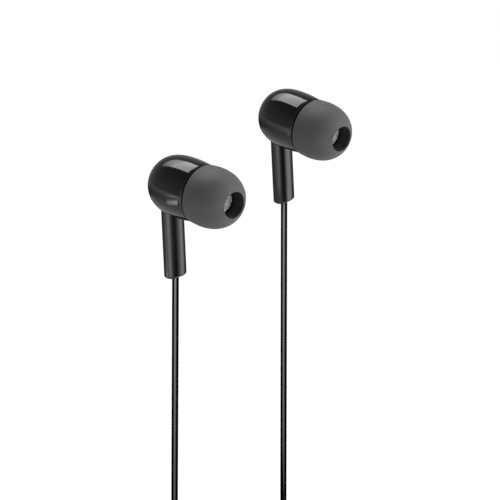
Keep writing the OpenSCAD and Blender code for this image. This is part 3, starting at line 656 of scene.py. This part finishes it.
tie.matrix_world = (Matrix.Translation(hank_centre * mm) @ Matrix.Rotation(hank_turn, 4, "Z")
                    @ Matrix.Rotation(radians(90), 4, "X"))
finish_piece(tie, 40)

# %% [markdown]
# ## The plug
# The plug hangs beside the hank. It is turned, like the tips, but round an upright axis. From the top come a
# ribbed strain relief, which lets the cord bend in a gentle curve, and a grip. The sleeve and the ring are
# turned rings on a rod that is one piece with the tip, and two black rings keep the contacts apart.

# %% Heights and radii of the plug
relief_top = hank_centre.z - 26
relief_end = relief_top - 8
sleeve_top = relief_end - 15
sleeve_end = sleeve_top - 5
ring_top = sleeve_end - 0.7
ring_end = ring_top - 2.2
tip_top = ring_end - 0.7
plug_end = sleeve_top - 14
plug_r, insulator_r, grip_r, relief_r = 1.75, 1.73, 3.5, 2.1
rod_r, rod_bore, wires_r, cord_depth, groove = 0.48, 0.52, 0.3, 4.1, 0.4
around = (plug_axis.x, plug_axis.y, 0)


def upright(name, profile, steps=96, smooth=35):
    return spin_profile(name, profile, steps, around, "Z", True, smooth)


# %% Strain relief and grip
ribs, rib_step = [], (relief_top - relief_end) / 5.5
for i in range(5):
    z, r = relief_top - i * rib_step, between(cord_d / 2 + 0.55, relief_r, i / 5)
    ribs += [(z - seam, r - 0.1), (z - 0.1, r), (z - 0.5 * rib_step, r + 0.03),
             (z - 0.56 * rib_step, r - 0.04), (z - 0.62 * rib_step, r - groove),
             (z - 0.97 * rib_step, r - groove)]
plug_relief = upright("plug_relief", [
    (relief_top, hole_r), (relief_top, hole_r + 0.36), *ribs, (relief_end + 0.5 * rib_step, relief_r),
    (relief_end, relief_r), (relief_end, wires_r), (relief_top - cord_depth, wires_r),
    (relief_top - cord_depth, hole_r)])
plug_grip = upright("plug_grip", [
    (relief_end - seam, rod_bore), (relief_end - seam, 2.6), (relief_end - 0.12, 2.9),
    (relief_end - 0.4, 3.15), (relief_end - 1, 3.33), (relief_end - 2, grip_r),
    (sleeve_top + 4, grip_r), (sleeve_top + 2, 3.42), (sleeve_top + 0.8, 3.2), (sleeve_top + 0.25, 2.9),
    (sleeve_top, 2.5), (sleeve_top, rod_bore)])


# %% Contacts and insulators
def rod_ring(name, top, end, shoulders):
    """A ring on the plug's rod, with (height, radius) points between its two inner edges."""
    return upright(name, [(top - seam, rod_bore), *shoulders, (end, rod_bore)])


plug_sleeve = rod_ring("plug_sleeve", sleeve_top, sleeve_end, [
    (sleeve_top - seam, plug_r), (sleeve_end + 0.05, plug_r), (sleeve_end, plug_r - 0.05)])
plug_ring = rod_ring("plug_ring", ring_top, ring_end, [
    (ring_top - seam, plug_r - 0.05), (ring_top - 0.07, plug_r), (ring_end + 0.05, plug_r),
    (ring_end, plug_r - 0.05)])
insulator_a, insulator_b = (
    rod_ring(name, top, end, [(top - seam, insulator_r), (end, insulator_r)])
    for name, top, end in [("insulator_a", sleeve_end, ring_top), ("insulator_b", ring_end, tip_top)])

# The nose, from its shoulder to its point: [share of its length, share of the plug's radius]
nose = tip_top - plug_end
nose_shape = [(0.12, 1), (0.17, 0.93), (0.25, 0.77), (0.3, 0.73), (0.35, 0.79), (0.45, 0.95), (0.52, 0.98),
              (0.6, 0.955), (0.7, 0.87), (0.8, 0.73), (0.9, 0.53), (0.97, 0.3)]
plug_tip = upright("plug_tip", [
    (relief_end - 1, 0), (relief_end - 1, rod_r), (tip_top - seam, rod_r), (tip_top - seam, plug_r - 0.05),
    (tip_top - 0.07, plug_r), *((tip_top - far * nose, plug_r * across) for far, across in nose_shape),
    (plug_end, 0)], smooth=25)

# %% [markdown]
# ## Finishes
# Every finish is a node material. What more than one of them needs is a node group: a fine grain that
# moves the roughness and the height of the surface, and a soft mottle that stands for handling marks. They
# read Object coordinates, so a pattern keeps its real size on every piece.

# %% Tools for nodes
def add_node(tree, kind, values=None, **settings):
    """A new node with its settings, and with values on the inputs that nothing is joined to."""
    node = tree.nodes.new("ShaderNode" + kind)
    for label, value in settings.items():
        setattr(node, label, value)
    for label, value in (values or {}).items():
        node.inputs[label].default_value = value
    return node


def join(tree, *links):
    for a, b in links:
        tree.links.new(a, b)


def new_group(name, inputs, outputs):
    group = bpy.data.node_groups.new(name, "ShaderNodeTree")
    for label, value in inputs:
        socket = group.interface.new_socket(label, in_out="INPUT", socket_type="NodeSocketFloat")
        socket.default_value = value
    for label, kind in outputs:
        group.interface.new_socket(label, in_out="OUTPUT", socket_type=kind)
    return group, group.nodes.new("NodeGroupInput"), group.nodes.new("NodeGroupOutput")


# A Mix node has several sockets of each name, so those for colours are taken by their number
mix_a, mix_b, mix_out = 6, 7, 2


# %% [markdown]
# The grain group gives noise of a set pitch twice: drawn to a middle and a spread, for the roughness, and
# plain, as a height for bumps. The tint group mixes a darker and a lighter colour by a wider noise, and its
# contrast says how hard the one changes to the other.

# %% Groups for grain and for mottle
def make_grain():
    """Noise of a given pitch round a middle value, and its height."""
    group, given, result = new_group("grain", [("Pitch", 3000), ("Middle", 0.5), ("Spread", 0.1)],
                                     [("Value", "NodeSocketFloat"), ("Height", "NodeSocketFloat")])
    where = add_node(group, "TexCoord")
    noise = add_node(group, "TexNoise", {"Detail": 3})
    spread = add_node(group, "Math", operation="MULTIPLY_ADD")
    centre = add_node(group, "Math", {1: 0.5}, operation="SUBTRACT")
    join(group, (where.outputs["Object"], noise.inputs["Vector"]),
         (given.outputs["Pitch"], noise.inputs["Scale"]),
         (noise.outputs["Fac"], centre.inputs[0]), (centre.outputs[0], spread.inputs[0]),
         (given.outputs["Spread"], spread.inputs[1]), (given.outputs["Middle"], spread.inputs[2]),
         (spread.outputs[0], result.inputs["Value"]), (noise.outputs["Fac"], result.inputs["Height"]))
    return group


def make_tint():
    """Mixes two colours by a soft mottle of a given pitch."""
    group, given, result = new_group("tint", [("Pitch", 400), ("Contrast", 1)],
                                     [("Color", "NodeSocketColor")])
    for label in ("Dark", "Light"):
        group.interface.new_socket(label, in_out="INPUT", socket_type="NodeSocketColor")
    where = add_node(group, "TexCoord")
    noise = add_node(group, "TexNoise", {"Detail": 4})
    lift = add_node(group, "Math", operation="MULTIPLY_ADD", use_clamp=True)
    low = add_node(group, "Math", {1: -0.5, 2: 0.5}, operation="MULTIPLY_ADD")
    mix = add_node(group, "Mix", data_type="RGBA")
    join(group, (where.outputs["Object"], noise.inputs["Vector"]),
         (given.outputs["Pitch"], noise.inputs["Scale"]),
         (given.outputs["Contrast"], low.inputs[0]), (noise.outputs["Fac"], lift.inputs[0]),
         (given.outputs["Contrast"], lift.inputs[1]), (low.outputs[0], lift.inputs[2]),
         (lift.outputs[0], mix.inputs["Factor"]), (given.outputs["Dark"], mix.inputs[mix_a]),
         (given.outputs["Light"], mix.inputs[mix_b]), (mix.outputs[mix_out], result.inputs["Color"]))
    return group


grain, tint = make_grain(), make_tint()
print("node groups:", [g.name for g in bpy.data.node_groups])


# %% [markdown]
# One recipe serves all the finishes. The tint group sets the colour between a darker and a lighter value,
# one grain sets the roughness, and another one the fine bumps. Numbers that are the same all over, such as
# the metallic share, are set on the shader itself.

# %% The recipe
def finish_material(name, dark, light, rough, rough_spread, grain_pitch, bump, tint_pitch=300, contrast=1.5,
                    smudge_pitch=250, **plain):
    material = bpy.data.materials.new(name)
    material.use_nodes = True
    tree = material.node_tree
    shader = tree.nodes["Principled BSDF"]
    for label, value in plain.items():
        shader.inputs[label.replace("_", " ")].default_value = value
    colour, smudge, fine = (add_node(tree, "Group", node_tree=group) for group in (tint, grain, grain))
    for node, values in [
            (colour, {"Pitch": tint_pitch, "Contrast": contrast, "Dark": (*dark, 1), "Light": (*light, 1)}),
            (smudge, {"Pitch": smudge_pitch, "Middle": rough, "Spread": rough_spread}),
            (fine, {"Pitch": grain_pitch})]:
        for label, value in values.items():
            node.inputs[label].default_value = value
    bumps = add_node(tree, "Bump", {"Strength": 1, "Distance": bump * mm})
    join(tree, (colour.outputs["Color"], shader.inputs["Base Color"]),
         (smudge.outputs["Value"], shader.inputs["Roughness"]),
         (fine.outputs["Height"], bumps.inputs["Height"]), (bumps.outputs["Normal"], shader.inputs["Normal"]))
    return material


def grey(value):
    return (value, value, value * 1.02)


# %% [markdown]
# The shells and stems are polished. The covers, the splitter and the plug's grip come satin from the mould,
# and silicone is dull and grey. The wires of the screen are coated: they are pale and hardly metallic. The
# numbers are the two colours, the roughness with its spread, the pitch of the grain and the height of its
# bumps in millimetres.

# %% The finishes
gloss_black = finish_material("gloss_black", grey(0.0025), grey(0.0045), 0.09, 0.05, 900, 0.0006)
satin_black = finish_material("satin_black", grey(0.006), grey(0.012), 0.38, 0.12, 9000, 0.004)
silicone = finish_material("silicone", grey(0.125), grey(0.15), 0.6, 0.12, 7000, 0.006)
jacket = finish_material("cord_jacket", grey(0.0012), grey(0.003), 0.15, 0.03, 3000, 0.0003, IOR=1.7)
screen_steel = finish_material("screen_steel", grey(0.7), grey(1), 0.3, 0.2, 8000, 0.002, 3500, 2.5,
                               Metallic=0.05)
steel = finish_material("steel", grey(0.45), grey(0.6), 0.3, 0.15, 5000, 0.002, Metallic=1.0)
nickel = finish_material("magnet_nickel", (0.5, 0.47, 0.42), (0.66, 0.62, 0.56), 0.24, 0.1, 4000, 0.002,
                         Metallic=1.0)
gold = finish_material("gold_contact", (0.72, 0.5, 0.2), (0.86, 0.64, 0.3), 0.2, 0.1, 5000, 0.001,
                       Metallic=1.0)
copper = finish_material("copper_wire", (0.42, 0.14, 0.05), (0.62, 0.24, 0.09), 0.3, 0.1, 8000, 0.003,
                         Metallic=1.0)
film = finish_material("film", (0.5, 0.46, 0.38), (0.64, 0.6, 0.52), 0.22, 0.1, 3000, 0.002)
frame_plastic = finish_material("frame_plastic", grey(0.012), grey(0.022), 0.5, 0.12, 9000, 0.005)
board_green = finish_material("board", (0.006, 0.045, 0.016), (0.012, 0.075, 0.026), 0.35, 0.1, 6000, 0.003)
insulator_black = finish_material("insulator", grey(0.008), grey(0.014), 0.3, 0.08, 6000, 0.002)
tie_band = finish_material("tie_band", grey(0.006), grey(0.014), 0.55, 0.15, 5000, 0.02)
print("materials so far:", len(bpy.data.materials))

# %% [markdown]
# The silicone is grey on the dome. Inside the bore the wall is painted darker, as painted shade for the deep
# recess, and its shine is turned down there as well.

# %% The bore of the tips
tree = silicone.node_tree
shader = tree.nodes["Principled BSDF"]
mark = add_node(tree, "Attribute", attribute_name="in_bore")
# Painted shade: the bore's points are mixed towards a darker grey, and their shine is lowered.
bore_painted_shade = add_node(tree, "Mix", {mix_b: (*grey(0.07), 1)}, data_type="RGBA")
bore_less_shine = add_node(tree, "MapRange", {"To Min": 0.5, "To Max": 0.15})
join(tree, (mark.outputs["Fac"], bore_painted_shade.inputs["Factor"]), (mark.outputs["Fac"], bore_less_shine.inputs["Value"]),
     (shader.inputs["Base Color"].links[0].from_socket, bore_painted_shade.inputs[mix_a]),
     (bore_painted_shade.outputs[mix_out], shader.inputs["Base Color"]),
     (bore_less_shine.outputs["Result"], shader.inputs["Specular IOR Level"]))

# %% [markdown]
# The cord's jacket is dull rubber. It shines where it faces the eye, but its sides stay black, because the
# fine powder on it swallows light that grazes it. So its shine follows how far it is turned away.

# %% The cord's shine
tree = jacket.node_tree
turned = add_node(tree, "LayerWeight", {"Blend": 0.5})
shine = add_node(tree, "MapRange", {"From Min": 0.03, "From Max": 0.19, "To Min": 0.88, "To Max": 0})
join(tree, (turned.outputs["Facing"], shine.inputs["Value"]),
     (shine.outputs["Result"], tree.nodes["Principled BSDF"].inputs["Specular IOR Level"]))


# %% [markdown]
# ## Dressing the pieces
# Each new piece takes its finish, moves with its body, and stands for the nodes that it replaces. The tips
# ride on bodies of their own, because they pull off the nozzles, and all the rest rides on the earphones.

# %% Dress the new pieces
def dress(piece, material, body, slot, *nodes):
    piece.data.materials.clear()
    piece.data.materials.append(material)
    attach(piece, body)
    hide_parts(*nodes)


sides = {"left": (left_tip, left_shell, left_cover, left_screen, left_stem),
         "right": (right_tip, right_shell, right_cover, right_screen, right_stem)}
for side, (tip_piece, shell, cover, screen, stem) in sides.items():
    dress(tip_piece, silicone, side + "_tip", "silicone", side + "_ear_tip")
    dress(shell, gloss_black, "earphones", "shell", side + "_rear_shell")
    dress(cover, satin_black, "earphones", "cover", side + "_front_cover")
    dress(screen, screen_steel, "earphones", "screen", side + "_nozzle_screen")
    dress(stem, gloss_black, "earphones", "shell", side + "_stem")
for piece, material, slot, *nodes in [
        (left_branch, jacket, "cord", "left_cord", "left_cord_hank", "left_cord_end"),
        (right_branch, jacket, "cord", "right_cord", "right_cord_hank", "right_cord_end"),
        (main_lead, jacket, "cord", "main_cord_loop", "main_cord_hank", "main_cord_tail"),
        (splitter, satin_black, "moulding", "y_splitter"),
        (tie, tie_band, "tie", "hank_tie"),
        (plug_relief, satin_black, "moulding", "plug_strain_relief"),
        (plug_grip, satin_black, "moulding", "plug_handle"),
        (plug_sleeve, gold, "contact", "plug_sleeve_contact"),
        (plug_ring, gold, "contact", "plug_ring_contact"),
        (plug_tip, gold, "contact", "plug_tip_contact"),
        (insulator_a, insulator_black, "insulator", "plug_insulators"),
        (insulator_b, insulator_black, "insulator", "plug_insulators")]:
    dress(piece, material, "earphones", slot, *nodes)

# %% [markdown]
# The parts inside the capsules keep their CAD meshes and only get a finish in place of the plain one: metals
# for the magnet system, a clear film for the diaphragm, enamelled copper for the wires.

# %% Dress the parts inside
inner_finish = {"driver_frame": frame_plastic, "driver_cap": steel, "diaphragm": film, "voice_coil": copper,
                "top_plate": steel, "magnet": nickel, "yoke": steel, "terminal_board": board_green,
                "inner_leads": copper, "cord_anchor": steel}
for side in sides:
    for node, material in inner_finish.items():
        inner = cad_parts[f"{side}_{node}"]
        for k in range(len(inner.data.materials)):
            inner.data.materials[k] = material
        if not inner.data.materials:
            inner.data.materials.append(material)


# %% [markdown]


# %% [markdown]
# ## The studio
# The earphones hang over a pale floor in front of a white background. Floor and world are white to the eye
# and in mirrors, but give off little light of their own, so that the lamps shape the dull surfaces.

# %% Floor and world
floor_size, floor_z = 16, -1.25
sky_light, sky_seen, floor_light, floor_seen = 0.175, 1, 0.05, 0.86
deselect()
bpy.ops.mesh.primitive_plane_add(size=floor_size, location=(0, 0, floor_z))
floor = bpy.context.object
floor.name = "floor"


def seen_white(tree, lit, seen):
    """The strength of a background: one value for what the eye or a mirror sees, another as a lamp."""
    path = add_node(tree, "LightPath")
    either, third = (add_node(tree, "Math", operation="MAXIMUM") for _ in range(2))
    strength = add_node(tree, "MapRange", {"To Min": lit, "To Max": seen})
    join(tree, (path.outputs["Is Camera Ray"], either.inputs[0]),
         (path.outputs["Is Glossy Ray"], either.inputs[1]), (either.outputs[0], third.inputs[0]),
         (path.outputs["Is Transmission Ray"], third.inputs[1]), (third.outputs[0], strength.inputs["Value"]))
    return strength.outputs["Result"]


world = bpy.data.worlds.new("studio")
bpy.context.scene.world = world
world.use_nodes = True
sky = world.node_tree.nodes["Background"]
sky.inputs["Color"].default_value = (1, 1, 1, 1)
join(world.node_tree, (seen_white(world.node_tree, sky_light, sky_seen), sky.inputs["Strength"]))

paper = bpy.data.materials.new("floor_paper")
paper.use_nodes = True
sheet_shader = paper.node_tree.nodes["Principled BSDF"]
for label, value in {"Base Color": (0.9, 0.9, 0.9, 1), "Roughness": 0.9, "Specular IOR Level": 0,
                     "Emission Color": (1, 1, 1, 1)}.items():
    sheet_shader.inputs[label].default_value = value
join(paper.node_tree, (seen_white(paper.node_tree, floor_light, floor_seen),
                       sheet_shader.inputs["Emission Strength"]))
floor.data.materials.append(paper)

# %% [markdown]
# Four lamps shape the dull surfaces: a large one from above and behind, one from the side, a small one
# straight before the nozzles, and a weak one from below. They stay out of the reflections. Their directions
# are given as on a compass and in height above the horizon, seen from the earphones. A lamp's radiance is
# the brightness of its face, where 1 is white.

# %% Lamps
middle = Vector((-0.012, 0.01, -0.002))
lamp_watts = 4  # for each square metre of a face with radiance 1


def look(azimuth, elevation):
    a, e = radians(azimuth), radians(elevation)
    return Vector((cos(a) * cos(e), sin(a) * cos(e), sin(e)))


def panel(name, place, aim, wide_m, high_m, radiance, along=None, diffuse=True, gloss=True):
    """A flat lamp that faces aim, its width along a given line. Its power follows from area and radiance."""
    lamp = bpy.data.lights.new(name, "AREA")
    lamp.shape, lamp.size, lamp.size_y = "RECTANGLE", wide_m, high_m
    lamp.energy = radiance * wide_m * high_m * lamp_watts
    stand = place_object(name, lamp)
    back = (place - aim).normalized()
    across = (along or back.cross((0, 0, -1))).cross(back).cross(-back).normalized()
    turn = Matrix((across, back.cross(across), back)).transposed().to_4x4()
    stand.matrix_world = Matrix.Translation(place) @ turn
    stand.visible_camera = False
    stand.visible_diffuse, stand.visible_glossy = diffuse, gloss
    return stand


for name, direction, far, size, radiance in [
        ("top_box", look(165, 58), 0.9, 0.9, 0.76), ("side_fill", look(42, 14), 1, 0.8, 2.85),
        ("front_fill", look(10, 0), 1, 0.4, 3.9), ("under_fill", look(75, -45), 1, 0.8, 0.6)]:
    panel(name, middle + direction * far, middle, size, size, radiance, gloss=False)
print("lamps:", [lamp.name for lamp in bpy.data.lights])

# %% [markdown]
# Two small cards on the left draw a patch and a streak low on the left shell. Each stands behind a grid that
# lets its light out within 24 degrees, which keeps it off the right shell. The patch is slanted, so it is
# made of four slats that stand in steps.

# %% Cards for the left shell
grid_angle, slats = radians(24), 4
shell_spot = Vector((-0.0075, -0.0058, -0.001))
cards = [panel("streak_card", Vector((-0.073, -0.101, -0.029)), shell_spot, 0.034, 0.011, 0.016,
               Vector((25, -18, 11)), diffuse=False)]
for i in range(slats):
    share = (i + 0.5) / slats
    place = Vector((-0.084, -0.067, -0.068)).lerp(Vector((-0.058, -0.098, -0.055)), share)
    slant = Vector((-3, 34, -24)).lerp(Vector((-6, 35, -44)), share)
    cards.append(panel(f"patch_slat_{i}", place, shell_spot, between(0.045, 0.06, share), 0.007,
                       between(0.014, 0.07, share), slant, diffuse=False))
for card in cards:
    card.data.spread = grid_angle


# %% [markdown]
# ## What the gloss reflects
# A glossy black thing looks like what it reflects, so it gets surroundings of its own: a dark tent and a soft
# box, which are hidden from the camera and cast neither light nor shadow on dull surfaces. Both are
# emissions, and a ramp says how bright they are along one direction.

# %% Tools for glowing surfaces
def for_gloss_only(thing):
    thing.visible_camera = thing.visible_diffuse = thing.visible_transmission = False
    thing.visible_shadow = thing.visible_volume_scatter = False


def glowing(name, thing, direction):
    """A plain emission on a thing, and its Object coordinates measured along one direction."""
    material = bpy.data.materials.new(name)
    material.use_nodes = True
    tree = material.node_tree
    tree.nodes.clear()
    where = add_node(tree, "TexCoord")
    along = add_node(tree, "VectorMath", {1: direction}, operation="DOT_PRODUCT")
    glow = add_node(tree, "Emission")
    face = add_node(tree, "OutputMaterial")
    join(tree, (where.outputs["Object"], along.inputs[0]), (glow.outputs[0], face.inputs["Surface"]))
    thing.data.materials.append(material)
    return tree, along, glow


def ramp(tree, value, steps):
    """Reads a list of (place, brightness) steps at a value."""
    low, high = steps[0][0], steps[-1][0]
    share = add_node(tree, "MapRange", {"From Min": low, "From Max": high})
    shades = add_node(tree, "ValToRGB")
    first, *inner, last = [((place - low) / (high - low), (v, v, v, 1)) for place, v in steps]
    shades.color_ramp.elements[0].color, shades.color_ramp.elements[1].color = first[1], last[1]
    for place, colour in inner:
        shades.color_ramp.elements.new(place).color = colour
    join(tree, (value, share.inputs["Value"]), (share.outputs["Result"], shades.inputs["Fac"]))
    return shades.outputs["Color"]


# %% [markdown]
# The tent is a ball round the earphones. Its cloth gets brighter or darker with height alone. A band of it,
# below the horizon, is what upright round things mirror to an eye that looks down on them. In that band the
# brightness also changes round the compass, and its bright places become the streaks on stems and cords.

# %% The dark tent
tent_r, strip_white = 1.2, 3.3
deselect()
bpy.ops.mesh.primitive_uv_sphere_add(segments=64, ring_count=32, radius=tent_r, location=middle)
tent = bpy.context.object
tent.name = "dark_tent"
for_gloss_only(tent)
tree, along, glow = glowing("tent_cloth", tent, (0, 0, 1 / tent_r))


def by_height(steps):
    """Steps that are given by degrees above the horizon."""
    return [(sin(radians(elevation)), value) for elevation, value in steps]


cloth = ramp(tree, along.outputs["Value"], by_height([
    (-90, 0.85), (-52, 0.7), (-42, 0.55), (-31, 0.42), (-27, 0.05), (-20, 0.06), (-15, 0.2), (-8, 0.38),
    (5, 0.42), (15, 0.34), (25, 0.3), (50, 0.17), (90, 0.14)]))
band = ramp(tree, along.outputs["Value"], by_height([
    (-90, 0), (-32, 0.2), (-29, 0.5), (-26, 0.92), (-22, 0.92), (-17, 1), (-10, 0.9), (-4, 0), (90, 0)]))

# %% The streaks round the compass
axes = add_node(tree, "SeparateXYZ")
compass = add_node(tree, "Math", operation="ARCTAN2")
join(tree, (along.inputs[0].links[0].from_socket, axes.inputs[0]), (axes.outputs["Y"], compass.inputs[0]),
     (axes.outputs["X"], compass.inputs[1]))
strips = ramp(tree, compass.outputs[0], [(radians(azimuth), value / strip_white) for azimuth, value in [
    (-180, 0.1), (-162, 0.15), (-148, 0.32), (-135, 0.6), (-126, 0.8), (-101, 1.5), (-86, 2.3), (-68, 3),
    (-44, 3.1), (-30, 2.4), (-20, 1.5), (-10, 0.7), (0, 0.35), (16, 0.05), (30, 0), (38, 0.5), (43, 1.6),
    (47, 2.9), (52, 3), (57, 2), (63, 0.9), (72, 0.25), (85, 0.1), (100, 0), (180, 0)]])
both = add_node(tree, "Math", operation="MULTIPLY")
total = add_node(tree, "Math", {1: strip_white}, operation="MULTIPLY_ADD")
join(tree, (band, both.inputs[0]), (strips, both.inputs[1]), (both.outputs[0], total.inputs[0]),
     (cloth, total.inputs[2]), (total.outputs[0], glow.inputs["Strength"]))

# %% [markdown]
# The soft box hangs level above. The shells show it as their bright field, so its outline is a polygon that
# gives the field its edges, and it grows brighter towards the earphones. Its corners and the places of its
# steps are shares of its height.

# %% The soft box
box_height, box_white = 0.6, 5.2
box_corners = [(-1.8, 0), (-1.5, -0.1), (-0.8, -0.1), (-0.35, -0.18), (-0.3, 0.69), (-0.6, 0.74),
               (-1.1, 0.84), (-1.5, 0.48), (-1.78, 0.26)]
box_levels = [(-1.8, 0.8), (-1.5, 1.3), (-1.3, 2.4), (-1.14, 2.7), (-1, 3.3), (-0.92, 4.9), (-0.8, 5.2),
              (-0.3, 4.7)]
deselect()
bpy.ops.mesh.primitive_circle_add(vertices=len(box_corners), fill_type="NGON")
soft_box = bpy.context.object
soft_box.name = "soft_box"
for v, (u, w) in zip(soft_box.data.vertices, box_corners):
    v.co = Vector((u, w, 1)) * box_height + middle
for_gloss_only(soft_box)
tree, along, glow = glowing("soft_box_face", soft_box, (1, 0, 0))
glow.inputs["Strength"].default_value = box_white
shade = ramp(tree, along.outputs["Value"], [
    (middle.x + u * box_height, level / box_white) for u, level in box_levels])
join(tree, (shade, glow.inputs["Color"]))
